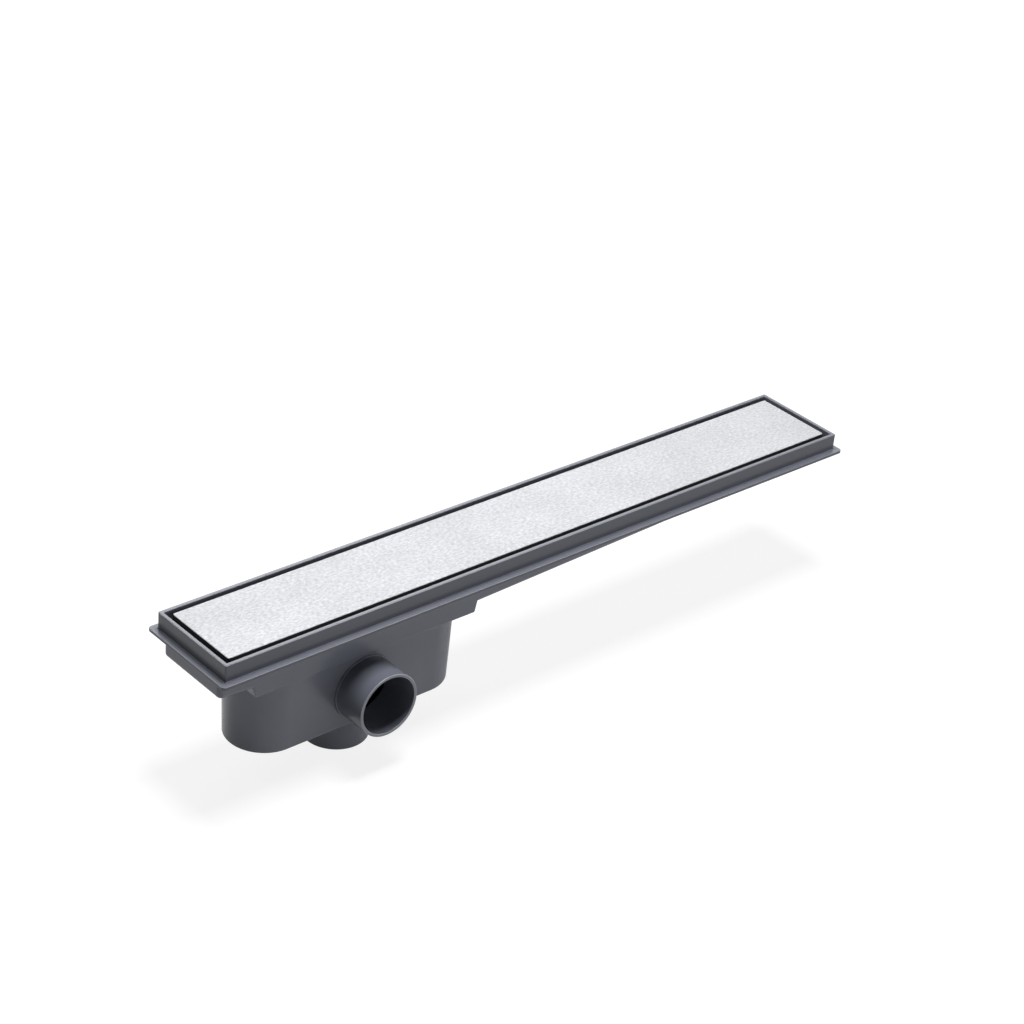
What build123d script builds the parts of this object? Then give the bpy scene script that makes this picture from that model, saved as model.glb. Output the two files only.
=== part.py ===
from build123d import *
from math import cos, radians, tan
import os

# A linear shower drain: a moulded plastic channel body with a deep trap sump, two spigots for
# 50 mm waste pipe, and a folded stainless cover plate that lifts out.
# Lengths are in millimetres. The origin is the centre of the bottom outlet's mouth, +Z is up,
# +X runs along the channel to its far end, and the side outlet faces -Y.

os.makedirs("parts", exist_ok=True)

# Upstand that the floor covering meets, and the flange round its foot
upstand_length = 590.0
upstand_width = 80.0
upstand_height = 13.4
upstand_wall = 2.9
upstand_corner = 1.2
flange_overhang = 5.0
flange_thickness = 2.5
flange_corner = 3.0
edge_ease = 0.4

# Channel under the flange; its floor falls to the sump from both ends
body_wall = 2.5
ledge_width = 6.2
channel_corner = 4.0
channel_edge_round = 3.5
near_reach = 127.8
near_end_depth = 16.3
sump_edge_depth = 17.9
far_end_depth = 5.7

# Collar, which deepens the channel over the sump
collar_length = 193.6
collar_depth = 25.7
collar_end_draft = 15.0
collar_corner = 1.0

# Sump with fully round ends
sump_straight = 129.3
sump_radius = 30.7
sump_height = 58.6
sump_draft = 1.55
sump_edge_round = 1.0
sump_bed_ease = 1.0

# Spigots for 50 mm pipe sockets
spigot_diameter = 50.0
spigot_wall = 2.4
spigot_stop_width = 1.0
spigot_stop_rise = 1.0
bottom_spigot_length = 25.8
side_spigot_reach = 59.2
side_spigot_rise = 29.4

# Cover plate, a folded sheet
cover_gap = 4.2
cover_drop = 0.3
cover_sheet = 1.2
cover_lip = 8.0
cover_bend = 1.4
cover_corner = 1.5
cover_slit = 0.6

# Bearers spot-welded under the cover plate, and the rubber pads under their feet
bearer_count = 5
bearer_margin = 38.0
bearer_sheet = 1.2
bearer_width = 18.0
bearer_bend = 0.8
bearer_lip_gap = 0.3
bearer_wall_gap = 0.7
pad_thickness = 2.0
pad_length = 15.0
pad_width = 4.4
pad_tab_length = 6.0
pad_tab_width = 2.0
pad_tab_height = 2.2
pad_tab_clearance = 0.1

# Trap plate that closes the sump, with its downstand, gasket and dip skirt
trap_clearance = 0.4
trap_plate_thickness = 2.2
trap_plate_corner = 2.0
downstand_clearance = 0.5
downstand_depth = 6.0
downstand_wall = 3.6
gasket_height = 2.6
gasket_depth = 1.6
gasket_drop = 1.8
gasket_clearance = 0.1
trap_wall = 1.8
trap_grip_length = 16.0
trap_grip_height = 5.0
trap_grip_thickness = 3.0
trap_grip_ease = 0.8

# Water cup of the trap, and the ways that the water takes round it
cup_side_gap = 5.0
cup_end_gap = 13.0
cup_foot = 6.0
cup_rim_drop = 7.0
cup_skirt_gap = 4.8
skirt_floor_gap = 8.0
fin_thickness = 2.0
fin_spacing = 80.0
fin_rim_drop = 6.0
fin_clearance = 0.5

# Hair strainer, a slotted basket hung in the trap plate's mouth
strainer_clearance = 0.4
strainer_wall = 1.4
strainer_rim = 3.0
strainer_rim_thickness = 1.5
strainer_depth = 16.0
strainer_slot_width = 2.6
strainer_slot_pitch = 5.2
strainer_slot_margin = 3.0
strainer_grip_width = 20.0
strainer_grip_rise = 8.0
strainer_grip_frame = 3.5
strainer_grip_thickness = 2.0

# Plug that closes the bottom outlet from inside, and its sealing ring
plug_clearance = 0.3
plug_seat = 2.4
plug_flange_thickness = 2.0
plug_depth = 12.0
plug_wall = 2.0
plug_grip_thickness = 3.0
seal_height = 2.8
seal_depth = 2.8
seal_clearance = 0.05

# Levels, from the bottom outlet's mouth upwards
sump_floor_z = bottom_spigot_length
collar_floor_z = sump_floor_z + sump_height
flange_under_z = collar_floor_z + collar_depth
flange_top_z = flange_under_z + flange_thickness
rim_z = flange_top_z + upstand_height
side_spigot_z = sump_floor_z + side_spigot_rise
sump_bed_z = sump_floor_z + body_wall
trap_seat_z = collar_floor_z + body_wall

# Places along and across the channel
near_x = -near_reach
middle_x = near_x + upstand_length / 2
inner_length = upstand_length - 2 * upstand_wall
inner_width = upstand_width - 2 * upstand_wall
channel_length = inner_length + 2 * body_wall
channel_width = inner_width - 2 * ledge_width + 2 * body_wall
channel_near_x = middle_x - channel_length / 2
channel_far_x = middle_x + channel_length / 2
spigot_radius = spigot_diameter / 2
bore_radius = spigot_radius - spigot_wall
sump_bore_radius = sump_radius - body_wall


def stadium_block(straight, radius, floor_z, height):
    """A solid with two straight sides and fully round ends, standing on floor_z."""
    with BuildPart() as block:
        with BuildSketch(Plane.XY.offset(floor_z)):
            SlotCenterToCenter(straight, 2 * radius)
        extrude(amount=height)
    return block.part


def sump_bore_at(z):
    """Half the inside width of the drafted sump at the height z."""
    return sump_bore_radius - (trap_seat_z - z) * tan(radians(sump_draft))


def trough_form(inset, top_z):
    """The sloping channel between its two ends, drawn in by a wall on the ends, floor and sides."""
    with BuildPart() as form:
        with BuildSketch(Plane.XZ):
            with BuildLine():
                Polyline(
                    (channel_near_x + inset, top_z),
                    (channel_near_x + inset, flange_under_z - near_end_depth + inset),
                    (-collar_length / 2, flange_under_z - sump_edge_depth + inset),
                    (collar_length / 2, flange_under_z - sump_edge_depth + inset),
                    (channel_far_x - inset, flange_under_z - far_end_depth + inset),
                    (channel_far_x - inset, top_z),
                    close=True,
                )
            make_face()
        extrude(amount=channel_width / 2 - inset, both=True)
        fillet(form.edges().filter_by(Axis.Z), channel_corner - inset)
    return form.part


def collar_form(inset, top_z):
    """The deeper box over the sump, with drafted ends, drawn in by a wall on all sides and below."""
    draft = radians(collar_end_draft)
    foot = collar_length / 2 + inset * tan(draft) - inset / cos(draft)
    head = foot + (top_z - collar_floor_z - inset) * tan(draft)
    with BuildPart() as form:
        with BuildSketch(Plane.XZ):
            with BuildLine():
                Polyline(
                    (-foot, collar_floor_z + inset),
                    (foot, collar_floor_z + inset),
                    (head, top_z),
                    (-head, top_z),
                    close=True,
                )
            make_face()
        extrude(amount=channel_width / 2 - inset, both=True)
    return form.part


def sump_form(inset, top_z):
    """The sump's stadium, narrowing downwards with its draft, drawn in by a wall on its sides."""
    with BuildPart() as form:
        with BuildSketch(Plane.XY.offset(top_z)):
            SlotCenterToCenter(sump_straight, 2 * (sump_radius - inset))
        extrude(amount=-sump_height, taper=sump_draft)
    return form.part


# Outside of the moulding: channel, collar, sump, spigots, flange and upstand
with BuildPart() as trough_skin:
    add(trough_form(0, flange_under_z))
    floor_faces = trough_skin.faces().filter_by(lambda face: face.normal_at().Z < -0.5)
    side_edges = floor_faces.edges().filter_by(
        lambda edge: abs(abs(edge.center().Y) - channel_width / 2) < 0.1 * channel_corner
        or edge.center().X < channel_near_x + channel_corner
        or edge.center().X > channel_far_x - channel_corner
    )
    fillet(side_edges, channel_edge_round)

with BuildPart() as collar_skin:
    add(collar_form(0, flange_under_z))
    fillet(
        collar_skin.edges().filter_by(
            lambda edge: edge.length > collar_depth / 2 and abs(edge.tangent_at(0.5).Z) > 0.5
        ),
        collar_corner,
    )

with BuildPart() as sump_skin:
    add(sump_form(0, collar_floor_z))
    fillet(sump_skin.faces().sort_by(Axis.Z)[0].edges(), sump_edge_round)

with BuildPart() as sump_core:
    add(sump_form(body_wall, trap_seat_z))
    chamfer(sump_core.faces().sort_by(Axis.Z)[0].edges(), sump_bed_ease)

with BuildPart() as drain_body:
    with BuildSketch(Plane.XY.offset(flange_under_z)):
        with Locations((middle_x, 0)):
            RectangleRounded(
                upstand_length + 2 * flange_overhang,
                upstand_width + 2 * flange_overhang,
                flange_corner,
            )
    extrude(amount=flange_thickness)
    chamfer(drain_body.edges().filter_by(Axis.Z, reverse=True), edge_ease)
    with BuildSketch(Plane.XY.offset(flange_top_z)):
        with Locations((middle_x, 0)):
            RectangleRounded(upstand_length, upstand_width, upstand_corner)
    extrude(amount=upstand_height)
    add(trough_skin.part)
    add(collar_skin.part)
    add(sump_skin.part)
    # The two spigots, each with a shoulder at its root that stops the pipe socket
    with BuildSketch(Plane.XZ):
        with Locations((0, side_spigot_z)):
            Circle(spigot_radius)
    extrude(amount=side_spigot_reach)
    with BuildSketch(Plane.XZ):
        with Locations((0, side_spigot_z)):
            Circle(spigot_radius + spigot_stop_rise)
    extrude(amount=sump_radius + spigot_stop_width)
    with BuildSketch(Plane.XY):
        Circle(spigot_radius)
    extrude(amount=sump_bed_z)
    with BuildSketch(Plane.XY.offset(sump_floor_z - spigot_stop_width)):
        Circle(spigot_radius + spigot_stop_rise)
    extrude(amount=spigot_stop_width)
    # The cores: upstand, channel, collar, sump and the bores of both spigots
    with BuildSketch(Plane.XY.offset(flange_top_z)):
        with Locations((middle_x, 0)):
            Rectangle(inner_length, inner_width)
    extrude(amount=upstand_height, mode=Mode.SUBTRACT)
    add(trough_form(body_wall, flange_top_z), mode=Mode.SUBTRACT)
    add(collar_form(body_wall, flange_under_z), mode=Mode.SUBTRACT)
    add(sump_core.part, mode=Mode.SUBTRACT)
    with BuildSketch(Plane.XZ):
        with Locations((0, side_spigot_z)):
            Circle(bore_radius)
    extrude(amount=side_spigot_reach, mode=Mode.SUBTRACT)
    with BuildSketch(Plane.XY):
        Circle(bore_radius)
    extrude(amount=sump_bed_z, mode=Mode.SUBTRACT)
    # The eased edges of the rim, and the lead-in chamfers of both mouths
    chamfer(drain_body.faces().sort_by(Axis.Z)[-1].edges(), edge_ease)
    chamfer(drain_body.faces().sort_by(Axis.Z)[0].edges(), edge_ease)
    chamfer(drain_body.faces().sort_by(Axis.Y)[0].edges(), edge_ease)
drain_body.part.label = "drain_body"
export_step(drain_body.part, "parts/drain_body.step")

# Cover plate: a pan of folded sheet, open below, with a slit at each corner between its lips
cover_length = inner_length - 2 * cover_gap
cover_width = inner_width - 2 * cover_gap
cover_top_z = rim_z - cover_drop
cover_under_z = cover_top_z - cover_sheet
cover_lip_z = cover_top_z - cover_lip

with BuildPart() as cover_plate:
    with BuildSketch(Plane.XY.offset(cover_lip_z)):
        with Locations((middle_x, 0)):
            RectangleRounded(cover_length, cover_width, cover_corner)
    extrude(amount=cover_lip)
    fillet(cover_plate.faces().sort_by(Axis.Z)[-1].edges(), cover_bend)
    with BuildSketch(Plane.XY.offset(cover_lip_z)):
        with Locations((middle_x, 0)):
            RectangleRounded(
                cover_length - 2 * cover_sheet,
                cover_width - 2 * cover_sheet,
                cover_corner - cover_sheet,
            )
    extrude(amount=cover_lip - cover_sheet, mode=Mode.SUBTRACT)
    with BuildSketch(Plane.XY.offset(cover_lip_z)):
        with Locations((middle_x, 0)):
            with GridLocations(cover_length, cover_width, 2, 2) as corners:
                for corner in corners.local_locations:
                    turn = 45 if corner.position.X * corner.position.Y > 0 else -45
                    with Locations(corner):
                        Rectangle(4 * cover_corner, cover_slit, rotation=turn)
    extrude(amount=cover_lip - cover_bend, mode=Mode.SUBTRACT)
cover_plate.part.label = "cover_plate"
export_step(cover_plate.part, "parts/cover_plate.step")

# Bearers: strips folded down inside the lips, then outwards into feet over the ledges
leg_y = cover_width / 2 - cover_sheet - bearer_lip_gap
foot_y = inner_width / 2 - bearer_wall_gap
foot_z = flange_top_z + pad_thickness
pad_y = foot_y - pad_width / 2
bearer_spacing = (cover_length - 2 * bearer_margin) / (bearer_count - 1)


def bearer_strip(centre_x):
    """One strip: its outer face drawn from foot to foot, thickened inwards by the sheet."""
    with BuildPart() as strip:
        with BuildSketch(Plane.YZ.offset(centre_x - bearer_width / 2)):
            with BuildLine():
                FilletPolyline(
                    (-foot_y, foot_z + bearer_sheet),
                    (-leg_y, foot_z + bearer_sheet),
                    (-leg_y, cover_under_z),
                    (leg_y, cover_under_z),
                    (leg_y, foot_z + bearer_sheet),
                    (foot_y, foot_z + bearer_sheet),
                    radius=bearer_bend,
                )
                offset(amount=bearer_sheet, side=Side.RIGHT)
            make_face()
        extrude(amount=bearer_width)
        with BuildSketch(Plane.XY.offset(foot_z)):
            with Locations((centre_x, -pad_y), (centre_x, pad_y)):
                Rectangle(
                    pad_tab_length + 2 * pad_tab_clearance, pad_tab_width + 2 * pad_tab_clearance
                )
        extrude(amount=2 * bearer_sheet, mode=Mode.SUBTRACT)
    return strip.part


def rubber_pad(centre_x, centre_y):
    """One pad on the ledge, with a tab moulded on it that is pressed through the foot's slot."""
    with BuildPart() as pad:
        with BuildSketch(Plane.XY.offset(flange_top_z)):
            with Locations((centre_x, centre_y)):
                Rectangle(pad_length, pad_width)
        extrude(amount=pad_thickness)
        with BuildSketch(Plane.XY.offset(foot_z)):
            with Locations((centre_x, centre_y)):
                Rectangle(pad_tab_length, pad_tab_width)
        extrude(amount=pad_tab_height)
    return pad.part


for number in range(bearer_count):
    bearer_x = middle_x - cover_length / 2 + bearer_margin + number * bearer_spacing
    bearer = bearer_strip(bearer_x)
    bearer.label = f"cover_bearer_{number + 1}"
    export_step(bearer, f"parts/{bearer.label}.step")
    for side, centre_y in enumerate((-pad_y, pad_y)):
        pad_solid = rubber_pad(bearer_x, centre_y)
        pad_solid.label = f"cover_pad_{2 * number + side + 1}"
        export_step(pad_solid, f"parts/{pad_solid.label}.step")

# Trap cup: a stadium cup on four fins, with room for the water on all sides and under it
cup_radius = sump_bore_at(sump_bed_z) - cup_side_gap
cup_straight = sump_straight + 2 * (cup_side_gap - cup_end_gap)
cup_floor_z = sump_bed_z + cup_foot
cup_rim_z = trap_seat_z - downstand_depth - cup_rim_drop
fin_reach = sump_bore_at(sump_bed_z) - fin_clearance
fin_top_z = cup_rim_z - fin_rim_drop
fin_bevel = sump_bed_ease + fin_clearance

with BuildPart() as trap_cup:
    add(stadium_block(cup_straight, cup_radius, cup_floor_z, cup_rim_z - cup_floor_z))
    for fin_x in (-fin_spacing / 2, fin_spacing / 2):
        with BuildSketch(Plane.YZ.offset(fin_x - fin_thickness / 2)):
            with BuildLine():
                Polyline(
                    (-fin_reach + fin_bevel, sump_bed_z),
                    (fin_reach - fin_bevel, sump_bed_z),
                    (fin_reach, sump_bed_z + fin_bevel),
                    (fin_reach, fin_top_z),
                    (-fin_reach, fin_top_z),
                    (-fin_reach, sump_bed_z + fin_bevel),
                    close=True,
                )
            make_face()
        extrude(amount=fin_thickness)
    add(
        stadium_block(cup_straight, cup_radius - trap_wall, cup_floor_z + trap_wall, cup_rim_z),
        mode=Mode.SUBTRACT,
    )
trap_cup.part.label = "trap_cup"
export_step(trap_cup.part, "parts/trap_cup.step")

# Trap plate: it lies on the collar's floor, and its skirt dips into the cup's water
downstand_radius = sump_bore_at(trap_seat_z - downstand_depth) - downstand_clearance
skirt_radius = cup_radius - trap_wall - cup_skirt_gap
skirt_end_z = cup_floor_z + trap_wall + skirt_floor_gap
mouth_radius = skirt_radius - trap_wall
trap_top_z = trap_seat_z + trap_plate_thickness
draft = radians(collar_end_draft)
seat_length = collar_length + 2 * body_wall * (tan(draft) - 1 / cos(draft))
gasket_top_z = trap_seat_z - gasket_drop
gasket_low_z = gasket_top_z - gasket_height
gasket_radius = sump_bore_at(gasket_low_z) - gasket_clearance
groove_radius = downstand_radius - gasket_depth

with BuildPart() as trap_plate:
    with BuildSketch(Plane.XY.offset(trap_seat_z)):
        RectangleRounded(
            seat_length - 2 * trap_clearance,
            channel_width - 2 * body_wall - 2 * trap_clearance,
            trap_plate_corner,
        )
    extrude(amount=trap_plate_thickness)
    add(stadium_block(sump_straight, downstand_radius, trap_seat_z, -downstand_depth))
    add(
        stadium_block(
            sump_straight, downstand_radius - downstand_wall, trap_seat_z, -downstand_depth
        ),
        mode=Mode.SUBTRACT,
    )
    add(stadium_block(cup_straight, skirt_radius, skirt_end_z, trap_seat_z - skirt_end_z))
    add(
        stadium_block(cup_straight, mouth_radius, skirt_end_z, trap_top_z - skirt_end_z),
        mode=Mode.SUBTRACT,
    )
    # The gasket's groove, round the downstand
    with BuildSketch(Plane.XY.offset(gasket_low_z)):
        SlotCenterToCenter(sump_straight, 2 * sump_radius)
        SlotCenterToCenter(sump_straight, 2 * groove_radius, mode=Mode.SUBTRACT)
    extrude(amount=gasket_height, mode=Mode.SUBTRACT)
    # A grip at each end, to lift the trap by
    grip_x = (seat_length / 2 + cup_straight / 2 + skirt_radius) / 2
    with BuildSketch(Plane.XY.offset(trap_top_z)):
        with Locations((-grip_x, 0), (grip_x, 0)):
            Rectangle(trap_grip_thickness, trap_grip_length)
    extrude(amount=trap_grip_height)
    chamfer(trap_plate.faces().sort_by(Axis.Z)[-2:].edges(), trap_grip_ease)
trap_plate.part.label = "trap_plate"
export_step(trap_plate.part, "parts/trap_plate.step")

# Gasket: a stadium ring in the downstand's groove, against the sump's wall
with BuildPart() as trap_gasket:
    add(stadium_block(sump_straight, gasket_radius, gasket_low_z, gasket_height))
    add(
        stadium_block(sump_straight, groove_radius, gasket_low_z, gasket_height),
        mode=Mode.SUBTRACT,
    )
trap_gasket.part.label = "trap_gasket"
export_step(trap_gasket.part, "parts/trap_gasket.step")

# Hair strainer: a slotted basket whose rim lies on the trap plate, with a grip across its middle
basket_radius = mouth_radius - strainer_clearance
basket_floor_z = trap_top_z - strainer_depth
slot_length = 2 * (basket_radius - strainer_wall - strainer_slot_margin)
slot_count = int(cup_straight / strainer_slot_pitch)
strainer_rim_z = trap_top_z + strainer_rim_thickness

with BuildPart() as hair_strainer:
    add(stadium_block(cup_straight, basket_radius, basket_floor_z, strainer_depth))
    add(
        stadium_block(
            cup_straight, basket_radius + strainer_rim, trap_top_z, strainer_rim_thickness
        )
    )
    add(
        stadium_block(
            cup_straight, basket_radius - strainer_wall, basket_floor_z + strainer_wall, rim_z
        ),
        mode=Mode.SUBTRACT,
    )
    with BuildSketch(Plane.XY.offset(basket_floor_z)):
        with GridLocations(strainer_slot_pitch, 0, slot_count, 1):
            Rectangle(strainer_slot_width, slot_length)
    extrude(amount=strainer_wall, mode=Mode.SUBTRACT)
    grip_foot_z = basket_floor_z + strainer_wall / 2
    grip_top_z = strainer_rim_z + strainer_grip_rise
    with BuildSketch(Plane.YZ.offset(-strainer_grip_thickness / 2)):
        with Locations((0, (grip_foot_z + grip_top_z) / 2)):
            Rectangle(strainer_grip_width, grip_top_z - grip_foot_z)
            Rectangle(
                strainer_grip_width - 2 * strainer_grip_frame,
                grip_top_z - grip_foot_z - 2 * strainer_grip_frame,
                mode=Mode.SUBTRACT,
            )
    extrude(amount=strainer_grip_thickness)
hair_strainer.part.label = "hair_strainer"
export_step(hair_strainer.part, "parts/hair_strainer.step")

# Bottom plug: a hollow stopper whose flange lies on the sump's floor, with a web to pull it by
plug_radius = bore_radius - plug_clearance
plug_low_z = sump_bed_z - plug_depth
seal_low_z = sump_bed_z - plug_depth / 2 - seal_height / 2
seal_radius = bore_radius - seal_clearance
seal_groove_radius = seal_radius - seal_depth
plug_bore_radius = seal_groove_radius - plug_wall

with BuildPart() as bottom_plug:
    with BuildSketch(Plane.XY.offset(plug_low_z)):
        Circle(plug_radius)
    extrude(amount=plug_depth)
    with BuildSketch(Plane.XY.offset(sump_bed_z)):
        Circle(bore_radius + plug_seat)
    extrude(amount=plug_flange_thickness)
    with BuildSketch(Plane.XY.offset(plug_low_z + plug_wall)):
        Circle(plug_bore_radius)
    extrude(amount=plug_depth - plug_wall + plug_flange_thickness, mode=Mode.SUBTRACT)
    with BuildSketch(Plane.XY.offset(seal_low_z)):
        Circle(bore_radius)
        Circle(seal_groove_radius, mode=Mode.SUBTRACT)
    extrude(amount=seal_height, mode=Mode.SUBTRACT)
    with BuildSketch(Plane.XY.offset(plug_low_z + plug_wall)):
        Rectangle(2 * plug_bore_radius + plug_wall, plug_grip_thickness)
    extrude(amount=plug_depth - plug_wall)
bottom_plug.part.label = "bottom_plug"
export_step(bottom_plug.part, "parts/bottom_plug.step")

# Sealing ring: a square rubber ring in the plug's groove, against the bore
with BuildPart() as bottom_plug_seal:
    with BuildSketch(Plane.XY.offset(seal_low_z)):
        Circle(seal_radius)
        Circle(seal_groove_radius, mode=Mode.SUBTRACT)
    extrude(amount=seal_height)
bottom_plug_seal.part.label = "bottom_plug_seal"
export_step(bottom_plug_seal.part, "parts/bottom_plug_seal.step")
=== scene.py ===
import math
import bmesh
import bpy
import numpy as np
from mathutils import Matrix, Vector


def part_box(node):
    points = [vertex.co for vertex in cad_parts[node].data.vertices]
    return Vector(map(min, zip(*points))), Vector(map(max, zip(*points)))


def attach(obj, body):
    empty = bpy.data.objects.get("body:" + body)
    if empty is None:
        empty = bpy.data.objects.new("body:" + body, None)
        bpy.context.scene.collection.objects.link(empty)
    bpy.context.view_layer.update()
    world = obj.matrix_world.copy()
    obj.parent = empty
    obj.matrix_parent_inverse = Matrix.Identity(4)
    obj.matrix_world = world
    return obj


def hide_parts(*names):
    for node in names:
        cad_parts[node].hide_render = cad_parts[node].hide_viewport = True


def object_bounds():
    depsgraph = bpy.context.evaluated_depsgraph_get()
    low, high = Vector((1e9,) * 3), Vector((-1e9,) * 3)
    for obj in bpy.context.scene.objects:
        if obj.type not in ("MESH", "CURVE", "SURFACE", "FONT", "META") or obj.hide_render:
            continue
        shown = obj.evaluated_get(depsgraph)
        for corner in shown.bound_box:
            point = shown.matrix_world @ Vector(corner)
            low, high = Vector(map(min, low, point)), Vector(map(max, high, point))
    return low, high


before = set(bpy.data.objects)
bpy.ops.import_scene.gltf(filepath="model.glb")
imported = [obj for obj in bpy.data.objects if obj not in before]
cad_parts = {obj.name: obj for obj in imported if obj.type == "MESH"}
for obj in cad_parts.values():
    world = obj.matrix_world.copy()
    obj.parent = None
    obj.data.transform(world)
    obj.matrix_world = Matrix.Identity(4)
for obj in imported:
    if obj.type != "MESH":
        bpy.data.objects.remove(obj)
cad_low, cad_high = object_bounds()


# The drain body. One injection moulding in dark blue-grey PVC: upstand, flange, channel, collar,
# sump and both pipe spigots in a single even wall. Its faces are satin from the tool's fine spark
# finish. The upstand's outer walls and the flange's edge are darker, which is painted shade, and the
# rounded edges are paler, which is painted highlight.
body_low, body_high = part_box("drain_body")
middle_x = (body_low.x + body_high.x) / 2
body_wall = 0.0025
rim_z = body_high.z
rim_round = 0.0007
upstand_height = 0.0134
upstand_wall = 0.0029
upstand_corner = 0.0012
foot_round = 0.0008
inside_corner = 0.0003
ledge_width = 0.0062
flange_half = ((body_high.x - body_low.x) / 2, body_high.y)
flange_overhang = 0.005
flange_thickness = 0.0025
flange_corner = 0.003
flange_round = 0.0004
channel_corner = 0.004
channel_round = 0.0035
channel_root_round = 0.0008
near_end_depth = 0.0163
sump_edge_depth = 0.0179
far_end_depth = 0.0057
collar_half_length = 0.0968
collar_depth = 0.0257
collar_draft = math.radians(15)
collar_round = 0.0012

flange_top_z = rim_z - upstand_height
flange_under_z = flange_top_z - flange_thickness
collar_floor_z = flange_under_z - collar_depth
upstand_half = tuple(half - flange_overhang for half in flange_half)
inside_half = tuple(half - upstand_wall for half in upstand_half)
channel_inner_half = (inside_half[0], inside_half[1] - ledge_width)
channel_half = tuple(half + body_wall for half in channel_inner_half)
channel_near_x = middle_x - channel_half[0]
channel_far_x = middle_x + channel_half[0]
round_steps = 6
corner_steps = 9


def arc(count, radius=1.0, stop=90.0):
    """Sines and cosines, times the radius, of count angles from 0 to stop degrees."""
    angles = np.radians(np.linspace(0, stop, count))
    return radius * np.sin(angles), radius * np.cos(angles)


# How far the collar's drafted end leans out, and where that end meets the collar's floor inside
collar_run = (collar_depth - sump_edge_depth) * math.tan(collar_draft)
inner_foot = collar_half_length + body_wall * (math.tan(collar_draft) - 1 / math.cos(collar_draft))


def collar_end():
    """Distances from the sump's middle, and heights, of the collar's end as seen from the side.

    The lower corner is a round of collar_round between the level floor and the drafted end."""
    slope = math.pi / 2 - collar_draft
    tangent = collar_round * math.tan(slope / 2)
    sines, cosines = arc(count=7, radius=collar_round, stop=math.degrees(slope))
    along = collar_half_length - tangent + sines
    height = collar_floor_z + collar_round - cosines
    top = (collar_half_length + collar_run, flange_under_z - sump_edge_depth)
    return np.append(along, top[0]), np.append(height, top[1])


# Where the long sides have points: evenly along both slopes, at the bends of the collar's ends, and
# at the inner feet and a little inside them
collar_end_x, collar_end_z = collar_end()
far_slope_points = 8
near_slope_points = 4
beside_foot = inner_foot - 0.002
station_x = np.sort(np.concatenate([
    np.linspace(channel_far_x - channel_corner, collar_end_x[-1], far_slope_points)[:-1],
    collar_end_x, (inner_foot, beside_foot, 0, -beside_foot, -inner_foot), -collar_end_x,
    np.linspace(-collar_end_x[-1], channel_near_x + channel_corner, near_slope_points)[1:],
]))[::-1]


def outer_floor(x):
    """Height of the channel's underside: it falls from both ends, then steps down to the collar."""
    near_z = flange_under_z - near_end_depth
    far_z = flange_under_z - far_end_depth
    along = np.concatenate([[channel_near_x], -collar_end_x[::-1], collar_end_x, [channel_far_x]])
    height = np.concatenate([[near_z], collar_end_z[::-1], collar_end_z, [far_z]])
    return np.interp(x, along, height)


def inner_floor(x):
    """Height of the channel's floor inside: one wall above the underside, on all its slopes."""
    inner_top = inner_foot + collar_run
    along = (channel_near_x, -inner_top, -inner_foot, inner_foot, inner_top, channel_far_x)
    depth = np.array((near_end_depth, sump_edge_depth, collar_depth, collar_depth, sump_edge_depth,
                      far_end_depth))
    return np.interp(x, along, flange_under_z + body_wall - depth)


def mirrored(core, direction, corner):
    """Half an outline and its mirror image across the XZ plane, as one closed outline."""
    flip = (1, -1)
    return (np.concatenate([core, core[::-1] * flip]),
            np.concatenate([direction, direction[::-1] * flip]), corner)


def rounded_rectangle(half, corner, stations=station_x):
    """The core points and outward directions of a rounded rectangle, counterclockwise.

    A ring at any offset is core + (corner + offset) * direction. The long sides have a point at
    each station, and point k mirrors point -1-k across the XZ plane."""
    sines, cosines = arc(corner_steps)
    far = np.full((corner_steps, 2), (middle_x + half[0] - corner, half[1] - corner))
    near = np.full((corner_steps, 2), (middle_x - half[0] + corner, half[1] - corner))
    side = np.stack([stations, np.full(stations.size, half[1] - corner)], 1)
    direction = np.concatenate([
        np.stack([cosines, sines], 1), np.tile((0.0, 1.0), (stations.size, 1)),
        np.stack([-sines, cosines], 1),
    ])
    return mirrored(np.concatenate([far, side, near]), direction, corner)


def ring(form, offset, height):
    """One level of a stack: the form's outline moved outwards by offset, at the height given."""
    core, direction, corner = form
    reach = np.broadcast_to(corner + np.asarray(offset), len(core))
    flat = core + reach[:, None] * direction
    return np.column_stack([flat, np.broadcast_to(height, len(core))])


def rings(form, offsets, heights):
    """Levels of a stack: one ring of the form for each pair of an offset and a height."""
    return [ring(form, offset, height) for offset, height in zip(offsets, heights)]


def stacked_mesh(name, levels):
    """A closed mesh from rings with the same count of points, each joined to the next by quads.

    The first and last rings are closed by strips between the points that mirror each other."""
    points = np.stack(levels)
    rows, count = points.shape[:2]
    index = np.arange(rows * count).reshape(rows, count)
    ahead = np.roll(index, -1, axis=1)
    walls = np.stack([index[:-1], index[1:], ahead[1:], ahead[:-1]], -1).reshape(-1, 4)
    half = np.arange(count // 2 - 1)
    strip = np.stack([half, half + 1, count - 2 - half, count - 1 - half], 1)
    faces = np.concatenate([walls, strip, strip[:, ::-1] + (rows - 1) * count])
    mesh = bpy.data.meshes.new(name)
    mesh.from_pydata(points.reshape(-1, 3).tolist(), [], faces.tolist())
    welded = bmesh.new()
    welded.from_mesh(mesh)
    bmesh.ops.remove_doubles(welded, verts=welded.verts, dist=1e-7)
    welded.to_mesh(mesh)
    welded.free()
    return mesh


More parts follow.
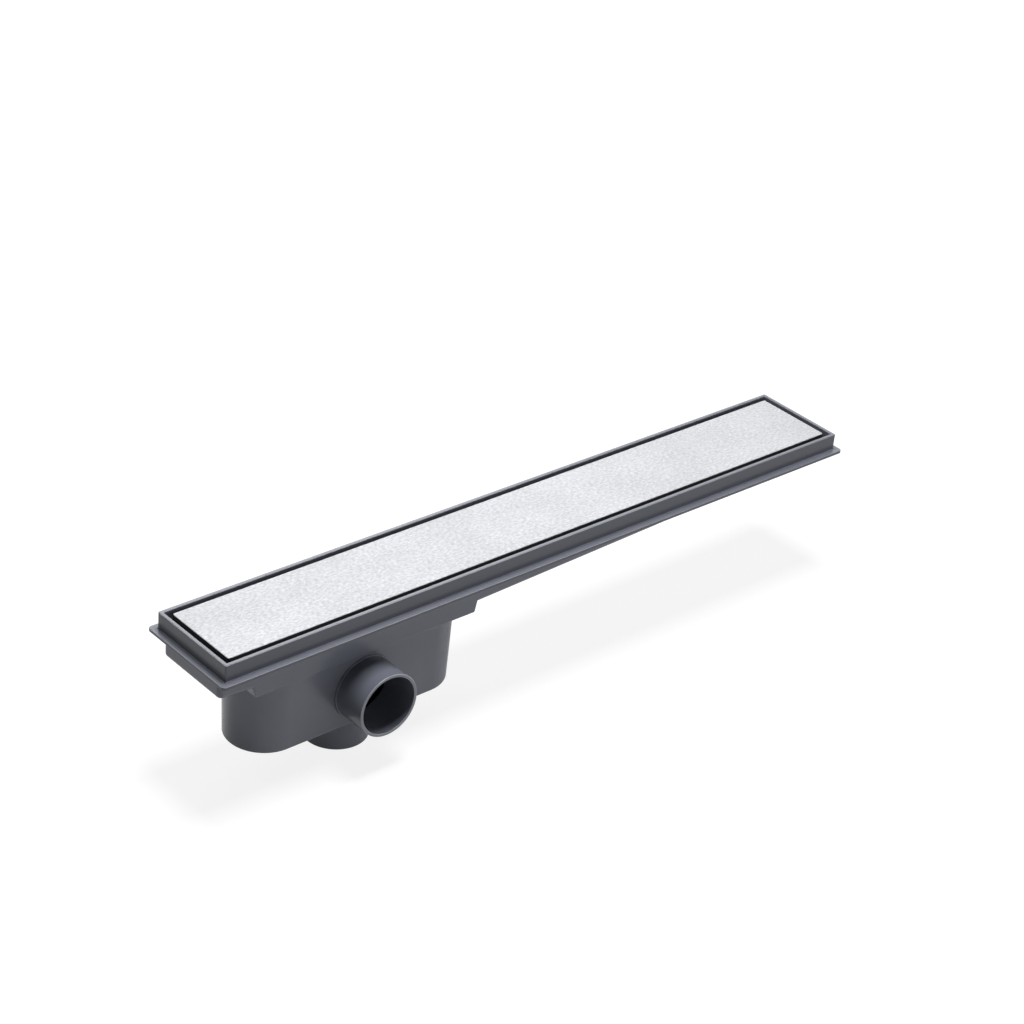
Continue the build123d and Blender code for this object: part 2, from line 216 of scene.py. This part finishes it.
def trough_levels():
    """Rings from the inner floor up the inside, over the rim, down the outside to the underside.

    Each edge is a quarter circle: its radius times sines and cosines moves its rings out and up."""
    upstand = rounded_rectangle(upstand_half, upstand_corner)
    inside = rounded_rectangle(inside_half, inside_corner)
    flange = rounded_rectangle(flange_half, flange_corner)
    channel = rounded_rectangle(channel_half, channel_corner)
    x = channel[0][:, 0]
    lower_round = np.interp(np.abs(x), (collar_half_length, collar_half_length + collar_run),
                            (collar_round, channel_round))
    sines, cosines = arc(round_steps)
    out, down = 1 - cosines, 1 - sines
    levels = [
        ring(channel, -body_wall, inner_floor(x)),
        ring(channel, -body_wall, flange_top_z),
        ring(inside, 0, flange_top_z),
    ]
    for form, offsets, heights in (
        (inside, rim_round * out, rim_z - rim_round * down),
        (upstand, -rim_round * down, rim_z - rim_round * out),
        (upstand, foot_round * out, flange_top_z + foot_round * down),
        (flange, -flange_round * down, flange_top_z - flange_round * out),
        (flange, -flange_round * out, flange_under_z + flange_round * down),
        (channel, channel_root_round * down, flange_under_z - channel_root_round * out),
        (channel, -np.outer(out, lower_round), outer_floor(x) + np.outer(down, lower_round)),
    ):
        levels += rings(form, offsets, heights)
    return levels


# The sump: a slot with fully round ends, drafted down to its floor
sump_half_straight = 0.06465
sump_radius = 0.0307
sump_floor_z = 0.0258
sump_draft = math.radians(1.55)
sump_round = 0.0016
sump_inner_round = 0.001
round_end_steps = 33


def stadium(half_straight):
    """The core points and directions of a slot's outline with fully round ends, about the origin."""
    sines, cosines = arc(round_end_steps)
    core = np.repeat([(half_straight, 0.0), (-half_straight, 0.0)], round_end_steps, axis=0)
    direction = np.concatenate([np.stack([cosines, sines], 1), np.stack([-sines, cosines], 1)])
    return mirrored(core, direction, 0.0)


def sump_levels(inset, top_z, low_z, low_round):
    """Rings down the sump's drafted sides and round its lower edge, drawn in by inset.

    The radius falls with the depth below the collar's floor, by the tangent of the draft."""
    sines, cosines = arc(count=8, radius=low_round)
    height = np.append(top_z, low_z + low_round - sines)
    radius = sump_radius - inset - (collar_floor_z - height) * math.tan(sump_draft)
    radius[1:] = radius[1:] - low_round + cosines
    return rings(stadium(sump_half_straight), radius, height)


# The spigots: pipes with a low shoulder at the root and a mouth that is rounded inside and out
spigot_radius = 0.025
spigot_wall = 0.0024
spigot_shoulder = 0.001
mouth_round = 0.0007
side_spigot_z = 0.0552


def turned_levels(profile):
    """Rings of a turned shape from its profile: radii, and their depths below its top."""
    radii, depths = profile
    return rings(stadium(0.0), radii, -depths)


def spigot_profile(root, shoulder_end, length):
    """A spigot's outside: a shoulder that stops the pipe socket, then the pipe to its round mouth."""
    shoulder = spigot_radius + spigot_shoulder
    edge = spigot_shoulder / 3
    edge_sines, edge_cosines = arc(count=4, radius=edge)
    sines, cosines = arc(round_steps, mouth_round)
    radii = np.concatenate([
        [shoulder], shoulder - edge + edge_cosines,
        [spigot_radius], spigot_radius - mouth_round + cosines,
    ])
    depths = np.concatenate([
        [root], shoulder_end - edge + edge_sines, [shoulder_end], length - mouth_round + sines,
    ])
    return radii, depths


def bore_profile(length):
    """A bore that flares at its mouth by the mouth's round, and runs a little past it."""
    bore = spigot_radius - spigot_wall
    sines, cosines = arc(round_steps, mouth_round)
    radii = np.concatenate([[bore], bore + mouth_round - cosines, [bore + mouth_round]])
    depths = np.concatenate([[0.0], length - mouth_round + sines, [length + mouth_round]])
    return radii, depths


def lay_towards_front(levels, z):
    """Turns rings that run down -Z to run out along -Y, with their middle at the height z."""
    return [np.column_stack([p[:, 0], p[:, 2], z - p[:, 1]]) for p in levels]


def stand_at(levels, z):
    """Moves rings up, so that their depths are measured down from the height z."""
    return [p + (0, 0, z) for p in levels]


def joined(name, solid, added, removed):
    """The solid with others added and cores removed, each a closed mesh, as one mesh."""
    thing = bpy.data.objects.new(name, solid)
    bpy.context.scene.collection.objects.link(thing)
    tools = []
    for operation, meshes in (("UNION", added), ("DIFFERENCE", removed)):
        for mesh in meshes:
            tool = bpy.data.objects.new(mesh.name, mesh)
            bpy.context.scene.collection.objects.link(tool)
            modifier = thing.modifiers.new(mesh.name, "BOOLEAN")
            modifier.operation = operation
            modifier.solver = "MANIFOLD"
            modifier.object = tool
            tools.append(tool)
    bpy.context.view_layer.update()
    depsgraph = bpy.context.evaluated_depsgraph_get()
    mesh = bpy.data.meshes.new_from_object(thing.evaluated_get(depsgraph))
    for unwanted in [thing] + tools:
        bpy.data.objects.remove(unwanted)
    return mesh


crease_angle = math.radians(28)


def new_piece(name, mesh, material):
    """An object of the mesh: rounds shaded smooth, creases sharp and flat faces kept flat."""
    mesh.name = name
    mesh.materials.clear()
    mesh.shade_smooth()
    mesh.set_sharp_from_angle(angle=crease_angle)
    mesh.materials.append(material)
    piece = bpy.data.objects.new(name, mesh)
    bpy.context.scene.collection.objects.link(piece)
    weighted = piece.modifiers.new("flat_faces", "WEIGHTED_NORMAL")
    weighted.keep_sharp = True
    return piece


# The outer forms that are joined to the trough, and the cores that then hollow them out
side_length = -body_low.y
side_root = sump_radius - 2 * body_wall
bottom_length = sump_floor_z + body_wall / 2
bottom_bore_length = bottom_length + body_wall
sump_bed_z = sump_floor_z + body_wall
side_profile = spigot_profile(side_root, sump_radius + spigot_shoulder, side_length)
bottom_profile = spigot_profile(0, body_wall / 2 + spigot_shoulder, bottom_length)
outer_forms = (
    ("sump_skin", sump_levels(0, collar_floor_z + body_wall / 2, sump_floor_z, sump_round)),
    ("side_skin", lay_towards_front(turned_levels(side_profile), side_spigot_z)),
    ("bottom_skin", stand_at(turned_levels(bottom_profile), bottom_length)),
)
cores = (
    ("sump_core",
     sump_levels(body_wall, collar_floor_z + 2 * body_wall, sump_bed_z, sump_inner_round)),
    ("side_bore", lay_towards_front(turned_levels(bore_profile(side_length)), side_spigot_z)),
    ("bottom_bore",
     stand_at(turned_levels(bore_profile(bottom_bore_length)), bottom_bore_length)),
)
body_mesh = joined(
    "body_parts", stacked_mesh("trough", trough_levels()),
    [stacked_mesh(*form) for form in outer_forms], [stacked_mesh(*core) for core in cores],
)


def node_adder(tree):
    """Empties a node tree, and gives the function that adds its nodes."""
    tree.nodes.clear()

    def add(kind, inputs=None, **settings):
        """Adds a node with its settings, and sets its inputs by name or links sockets to them."""
        node = tree.nodes.new(kind)
        for key, value in settings.items():
            setattr(node, key, value)
        for key, value in (inputs or {}).items():
            if isinstance(value, bpy.types.NodeSocket):
                tree.links.new(value, node.inputs[key])
            else:
                node.inputs[key].default_value = value
        return node

    return add


def new_material(name):
    """An empty node material, and the function that adds its nodes."""
    material = bpy.data.materials.new(name)
    material.use_nodes = True
    return material, node_adder(material.node_tree)


def grey(level, blue=0.0):
    """A linear colour: a grey with a little more blue."""
    return (level, level * (1 + 0.2 * blue), level * (1 + blue), 1.0)


def spread(add, noise, low, high):
    """Noise, which keeps mostly between 0.3 and 0.7, spread out between low and high."""
    return add("ShaderNodeMapRange", {
        "Value": noise, "From Min": 0.3, "From Max": 0.7, "To Min": low, "To Max": high,
    }).outputs["Result"]


def mixed(add, first, second, share, blend="MIX"):
    """The first colour with the share given of the second one blended in."""
    return add("ShaderNodeMix", {"A": first, "B": second, "Factor": share},
               data_type="RGBA", blend_type=blend).outputs["Result"]


def moulded_plastic(name, colour, tone_spread, roughness, grain_height, mixed_in=()):
    """Satin moulded plastic: slow tone clouds, a fine sparked grain in the bump, uneven gloss.

    Each pair in mixed_in is an attribute of the mesh and the colour that it mixes in."""
    material, add = new_material(name)
    place = add("ShaderNodeTexCoord").outputs["Object"]
    clouds = add("ShaderNodeTexNoise", {"Vector": place, "Scale": 18.0, "Detail": 3.0}).outputs["Fac"]
    grain = add("ShaderNodeTexNoise", {"Vector": place, "Scale": 1500.0, "Detail": 2.0}).outputs["Fac"]
    tone = spread(add, clouds, 1 - tone_spread, 1 + tone_spread)
    surface = mixed(add, colour, tone, 1.0, "MULTIPLY")
    for attribute, other_colour in mixed_in:
        share = add("ShaderNodeAttribute", attribute_name=attribute).outputs["Fac"]
        surface = mixed(add, surface, other_colour, share)
    bump = add("ShaderNodeBump", {"Height": grain, "Strength": 0.35, "Distance": grain_height})
    shader = add("ShaderNodeBsdfPrincipled", {
        "Base Color": surface, "Roughness": spread(add, clouds, roughness * 0.93, roughness * 1.07),
        "Normal": bump.outputs["Normal"], "IOR": 1.5,
    })
    add("ShaderNodeOutputMaterial", {"Surface": shader.outputs["BSDF"]})
    return material


# How strongly the painted highlight reaches the flat beside each round, and how it fades along the
# drain
rim_flat_share = 0.5
flange_flat_share = 0.2
mouth_flat_share = 0.5
fade_start_x = 0.1
far_end_share = 0.32


def paint_body_light(mesh):
    """Stores two kinds of painted light on the body's points: a highlight on its edges, shade on its
    walls.

    The painted highlight is 1 along an edge's round and 0 on the walls. In between, it rises with the
    point's distance into the round, and it ends at the flat share where the round meets a flat top,
    which is painted a little paler too. The highlight falls towards the far end. The painted shade is
    1 on the upstand's outside and on the flange's edge."""
    points = np.empty(3 * len(mesh.vertices), np.float32)
    mesh.vertices.foreach_get("co", points)
    x, y, z = points.reshape(-1, 3).T
    tiny = 1e-6

    def into(distance, width, flat_share):
        """0 at the round's start in the wall, 1 in its middle, the flat share at its end."""
        return np.interp(distance / width, (0, 0.25, 0.9, 1, 1.0001), (0, 1, 1, flat_share, 0))

    beyond_upstand = np.maximum(np.abs(x - middle_x) - upstand_half[0], np.abs(y) - upstand_half[1])
    on_flange = beyond_upstand > flange_overhang / 2
    rim = into(z - rim_z + rim_round, rim_round, rim_flat_share)
    rim = np.where(z > rim_z - rim_round, rim, 0)
    flange = into(z - flange_top_z + flange_round, flange_round, flange_flat_share)
    flange = np.where(on_flange, flange, 0)
    side_mouth = into(body_low.y + mouth_round - y, mouth_round, mouth_flat_share)
    bottom_mouth = into(body_low.z + mouth_round - z, mouth_round, mouth_flat_share)
    # Painted highlight on the rounded edges of the rim, flange and mouths, fading towards the far end
    highlight_fade = np.interp(x, (fade_start_x, body_high.x), (1, far_end_share))
    painted_highlight = highlight_fade * np.maximum.reduce([rim, flange, side_mouth, bottom_mouth])
    # Painted shade on the upstand's outer walls and on the flange's edge
    wall = beyond_upstand > -upstand_wall / 2
    wall &= (z > flange_top_z + foot_round - tiny) & (z < rim_z - rim_round + tiny)
    edge = on_flange & (z > flange_under_z - tiny) & (z < flange_top_z - flange_round + tiny)
    for name, values in (("painted_highlight", painted_highlight), ("painted_shade", wall | edge)):
        attribute = mesh.attributes.new(name, "FLOAT", "POINT")
        attribute.data.foreach_set("value", values.astype(np.float32))


paint_body_light(body_mesh)
# The paler colour is mixed in as painted highlight, the darker colour as painted shade
blue_grey = grey(0.142, 0.29)
painted_shade_colour = grey(0.095, 0.29)
highlight_colour = grey(0.3, 0.15)
body_plastic = moulded_plastic(
    "body_plastic", blue_grey, tone_spread=0.05, roughness=0.25, grain_height=0.00001,
    mixed_in=(("painted_shade", painted_shade_colour), ("painted_highlight", highlight_colour)))
drain_body = new_piece("drain_body_moulding", body_mesh, body_plastic)
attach(drain_body, "root")
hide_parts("drain_body")


# The trap and the plug, dropped into the sump. Injection mouldings: a near-black cup that stands on
# the sump's floor, the plate over it whose skirt dips in the cup's water, the stopper in the bottom
# outlet, and a paler strainer basket hung in the plate's mouth.
def finish_node(name, material):
    """Gives a carried-over CAD node its material."""
    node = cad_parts[name]
    node.data.materials.clear()
    node.data.materials.append(material)


trap_plastic = moulded_plastic("trap_plastic", grey(0.05, 0.1), tone_spread=0.08, roughness=0.45,
                               grain_height=0.00005)
for name in ("trap_plate", "trap_cup", "bottom_plug"):
    finish_node(name, trap_plastic)
strainer_plastic = moulded_plastic("strainer_plastic", grey(0.35, 0.05), tone_spread=0.06,
                                   roughness=0.45, grain_height=0.00005)
finish_node("hair_strainer", strainer_plastic)


# The rubber pieces. Black moulded rings round the trap plate's downstand and round the plug, and
# small pads that stand on the body's ledges and carry the feet of the cover's bearers.
pad_count = 10
rubber = moulded_plastic("rubber", grey(0.02), tone_spread=0.15, roughness=0.75,
                         grain_height=0.00006)
for name in ("trap_gasket", "bottom_plug_seal"):
    finish_node(name, rubber)
for number in range(pad_count):
    finish_node(f"cover_pad_{number + 1}", rubber)


# The cover plate. A pan folded from 1.2 mm stainless sheet and laid upside down, its lips cut free
# of each other at the corners. Its top is brushed in short strokes along its length, and its lips
# are darker, which is painted shade in the gap beside the upstand.
plate_low, plate_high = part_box("cover_plate")
plate_sheet = 0.0012
plate_bend = 0.0007
plate_corner = 0.0015
plate_slit = 0.0006
slit_length = 0.006
plate_points = 13
# The lips' darker colour, which is painted shade
lip_shade_colour = grey(0.12, 0.05)
shade_fade = 0.0004


def pan_levels():
    """Rings from the top round the bend, down the lips' outsides and up inside to the underside."""
    half = ((plate_high.x - plate_low.x) / 2, plate_high.y)
    straight = half[0] - plate_corner
    stations = np.linspace(middle_x + straight, middle_x - straight, plate_points)[1:-1]
    inside_bend = plate_sheet / 4
    inside_z = plate_high.z - plate_sheet
    sines, cosines = arc(round_steps)
    offsets = np.concatenate([
        plate_bend * (sines - 1), (0, -plate_sheet), inside_bend * (cosines - 1) - plate_sheet,
    ])
    heights = np.concatenate([
        plate_high.z - plate_bend * (1 - cosines), (plate_low.z, plate_low.z),
        inside_z - inside_bend * (1 - sines),
    ])
    return rings(rounded_rectangle(half, plate_corner, stations), offsets, heights)


def corner_slit(x, y):
    """A thin upright cutter across one corner of the pan, from under its lips up to its bend."""
    along = np.array((math.copysign(1, x - middle_x), math.copysign(1, y))) / math.sqrt(2)
    across = np.array((-along[1], along[0]))
    signs = np.array([(-1, -1), (1, -1), (1, 1), (-1, 1)]) / 2
    flat = np.array((x, y)) + signs[:, :1] * slit_length * along + signs[:, 1:] * plate_slit * across
    heights = (plate_high.z - 2 * plate_bend, plate_low.z - plate_sheet)
    return stacked_mesh("corner_slit",
                        [np.column_stack([flat, np.full(len(flat), z)]) for z in heights])


def calculated(add, operation, first, second):
    """Two values put together by the operation named."""
    return add("ShaderNodeMath", {0: first, 1: second}, operation=operation).outputs["Value"]


def brushed_steel(name, colour, stroke_depth, roughness, shade_below=None):
    """Stainless steel with short overlapping brush strokes along X.

    Noise drawn out along X gives each stroke its tone, gloss and depth, a finer one the hair lines
    in it, and slow clouds the uneven pressure of the brush. Where a height is given, the steel below
    it is darker: painted shade."""
    material, add = new_material(name)
    place = add("ShaderNodeTexCoord").outputs["Object"]

    def noise(scale, detail, turn=0.0):
        """Noise drawn out by the scale along each axis, after a turn in degrees about Z."""
        drawn = add("ShaderNodeMapping",
                    {"Vector": place, "Scale": scale, "Rotation": (0.0, 0.0, math.radians(turn))})
        return add("ShaderNodeTexNoise", {
            "Vector": drawn.outputs["Vector"], "Scale": 1.0, "Detail": detail, "Roughness": 0.6,
        }).outputs["Fac"]

    strokes = noise((330.0, 620.0, 620.0), detail=3.0, turn=8.0)
    hairs = noise((120.0, 5000.0, 5000.0), detail=2.0)
    clouds = noise((16.0, 24.0, 24.0), detail=3.0)
    lines = calculated(add, "MULTIPLY", spread(add, strokes, 0.88, 1.09),
                       spread(add, hairs, 0.97, 1.03))
    tone = calculated(add, "MULTIPLY", lines, spread(add, clouds, 0.955, 1.035))
    surface = mixed(add, colour, tone, 1.0, "MULTIPLY")
    # Below the height given, the steel takes a darker colour: painted shade
    if shade_below is not None:
        height = add("ShaderNodeSeparateXYZ", {"Vector": place}).outputs["Z"]
        unshaded = add("ShaderNodeMapRange", {
            "Value": height, "From Min": shade_below - shade_fade, "From Max": shade_below,
        })
        surface = mixed(add, lip_shade_colour, surface, unshaded.outputs["Result"])
    bump = add("ShaderNodeBump", {"Height": strokes, "Strength": 0.35, "Distance": stroke_depth})
    fine_bump = add("ShaderNodeBump", {
        "Height": hairs, "Strength": 0.3, "Distance": stroke_depth / 8,
        "Normal": bump.outputs["Normal"],
    })
    shader = add("ShaderNodeBsdfPrincipled", {
        "Base Color": surface, "Metallic": 1.0, "Normal": fine_bump.outputs["Normal"],
        "Roughness": spread(add, strokes, 1.06 * roughness, 0.94 * roughness),
    })
    add("ShaderNodeOutputMaterial", {"Surface": shader.outputs["BSDF"]})
    return material


slits = [corner_slit(x, y) for x in (plate_low.x, plate_high.x) for y in (plate_low.y, plate_high.y)]
plate_mesh = joined("plate_parts", stacked_mesh("pan", pan_levels()), [], slits)
cover_steel = brushed_steel("cover_steel", grey(0.727, 0.038), stroke_depth=0.00004, roughness=0.84,
                            shade_below=plate_high.z - plate_bend / 2)
cover_plate = new_piece("cover_plate_pan", plate_mesh, cover_steel)
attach(cover_plate, "root")
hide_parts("cover_plate")


# The bearers. Strips of the same stainless sheet, folded so that their feet turn outwards, and
# spot-welded across the plate's underside. They are out of sight, so they are left darker.
bearer_count = 5
bearer_steel = brushed_steel("bearer_steel", grey(0.3, 0.02), stroke_depth=0.00005, roughness=0.6)
for number in range(bearer_count):
    finish_node(f"cover_bearer_{number + 1}", bearer_steel)


# The camera. It stands where the photograph was taken from, in front of the drain's near end and
# above it. Its angles, distance and focal length were fitted to the corners in the photograph.
view_azimuth = math.radians(-43.211)
view_elevation = math.radians(30.374)
view_roll = math.radians(5.259)
view_distance = 1.9277
view_target = Vector((0.15586, -0.000055, 0.13324))
focal_pixels = 2625.66
frame_pixels = 1024
camera_data = bpy.data.cameras.new("camera")
camera_data.sensor_width = 36.0
camera_data.lens = focal_pixels * camera_data.sensor_width / frame_pixels
camera = bpy.data.objects.new("camera", camera_data)
bpy.context.scene.collection.objects.link(camera)
turn = (Matrix.Rotation(view_azimuth, 4, "Z")
        @ Matrix.Rotation(math.pi / 2 - view_elevation, 4, "X")
        @ Matrix.Rotation(view_roll, 4, "Z"))
back = turn.to_3x3() @ Vector((0, 0, 1))
camera.matrix_world = Matrix.Translation(view_target + back * view_distance) @ turn
bpy.context.scene.camera = camera


# The floor. Grey paper that takes the drain's soft shadow, and glows for the camera so that it shows
# white. It glows less where glossy faces mirror it, and less near the drain, where the lamps light
# it most, than far out.
middle = Vector((0.17, 0.0, 0.07))
floor_size = 12.0
floor_gap = 0.0005
glow_seen = 0.5
glow_mirrored = 0.25
glow_near = 1.68
glow_far = 2.05
glow_near_reach = 0.5
glow_far_reach = 1.1
bpy.ops.mesh.primitive_plane_add(size=floor_size, location=(middle.x, 0, cad_low.z - floor_gap))
floor = bpy.context.active_object
floor.name = "floor"
floor_paper, add = new_material("floor_paper")
rays = add("ShaderNodeLightPath")
paper = add("ShaderNodeBsdfDiffuse", {"Color": grey(0.45)})
seen_share = calculated(add, "MULTIPLY", rays.outputs["Is Camera Ray"], glow_seen)
mirrored_share = calculated(add, "MULTIPLY", rays.outputs["Is Glossy Ray"], glow_mirrored)
glow_share = calculated(add, "MAXIMUM", seen_share, mirrored_share)
place = add("ShaderNodeTexCoord").outputs["Object"]
distance = add("ShaderNodeVectorMath", {0: place}, operation="LENGTH").outputs["Value"]
strength = add("ShaderNodeMapRange", {
    "Value": distance, "From Min": glow_near_reach, "From Max": glow_far_reach,
    "To Min": glow_near, "To Max": glow_far,
}, interpolation_type="SMOOTHSTEP").outputs["Result"]
glow = add("ShaderNodeEmission", {"Color": grey(1.0), "Strength": strength})
both = add("ShaderNodeMixShader",
           {0: glow_share, 1: paper.outputs["BSDF"], 2: glow.outputs["Emission"]})
add("ShaderNodeOutputMaterial", {"Surface": both.outputs["Shader"]})
floor.data.materials.append(floor_paper)


# The surround. It is white where the camera sees past the floor, and it gives no light of its own,
# so that the lamps and the floor alone light the drain.
world = bpy.data.worlds.new("studio")
world.use_nodes = True
bpy.context.scene.world = world
add = node_adder(world.node_tree)
rays = add("ShaderNodeLightPath")
unlit = add("ShaderNodeBackground", {"Color": grey(1.0), "Strength": 0.0})
white = add("ShaderNodeBackground", {"Color": grey(1.0), "Strength": 1.0})
surround = add("ShaderNodeMixShader", {
    0: rays.outputs["Is Camera Ray"], 1: unlit.outputs["Background"],
    2: white.outputs["Background"],
})
add("ShaderNodeOutputWorld", {"Surface": surround.outputs["Shader"]})


# The lamps. Square soft boxes: one overhead for the cover, four behind the drain, of which one stands
# towards its near end, and two low ones in front for the sump and the side spigot.
def soft_box(name, place, aim, size, watts):
    """A square area lamp at place, turned to aim."""
    lamp_data = bpy.data.lights.new(name, "AREA")
    lamp_data.shape = "SQUARE"
    lamp_data.size = size
    lamp_data.energy = watts
    lamp = bpy.data.objects.new(name, lamp_data)
    lamp.location = place
    lamp.rotation_euler = (Vector(aim) - Vector(place)).to_track_quat("-Z", "Y").to_euler()
    bpy.context.scene.collection.objects.link(lamp)


def around(aim, azimuth, elevation, distance):
    """A point at a distance from aim: azimuth 0 is in front of it, 90 beyond the far end."""
    turn, rise = math.radians(azimuth), math.radians(elevation)
    direction = Vector((math.sin(turn) * math.cos(rise), -math.cos(turn) * math.cos(rise),
                        math.sin(rise)))
    return aim + distance * direction


near_end = Vector((-0.1, 0.0, 0.12))
far_end = Vector((0.42, 0.0, 0.12))
sump_middle = Vector((0.0, 0.0, 0.07))
for name, aim, azimuth, elevation, distance, size, watts in (
    ("top_box", middle, 0, 89, 1.6, 0.6, 29.5),
    ("back_box", middle, 137, 31, 2.0, 1.4, 5.0),
    ("near_back_box", near_end, 145, 34, 2.0, 0.8, 3.1),
    ("far_back_box", far_end, 131, 28, 2.0, 1.0, 1.8),
    ("near_left_box", middle, -140, 36, 1.8, 1.0, 4.0),
    ("low_right_box", sump_middle, 45, 15, 2.4, 1.3, 6.6),
    ("low_front_box", sump_middle, 4, 15, 1.2, 0.7, 2.3),
):
    soft_box(name, around(aim, azimuth, elevation, distance), aim, size, watts)

bpy.context.scene.view_settings.view_transform = "Standard"
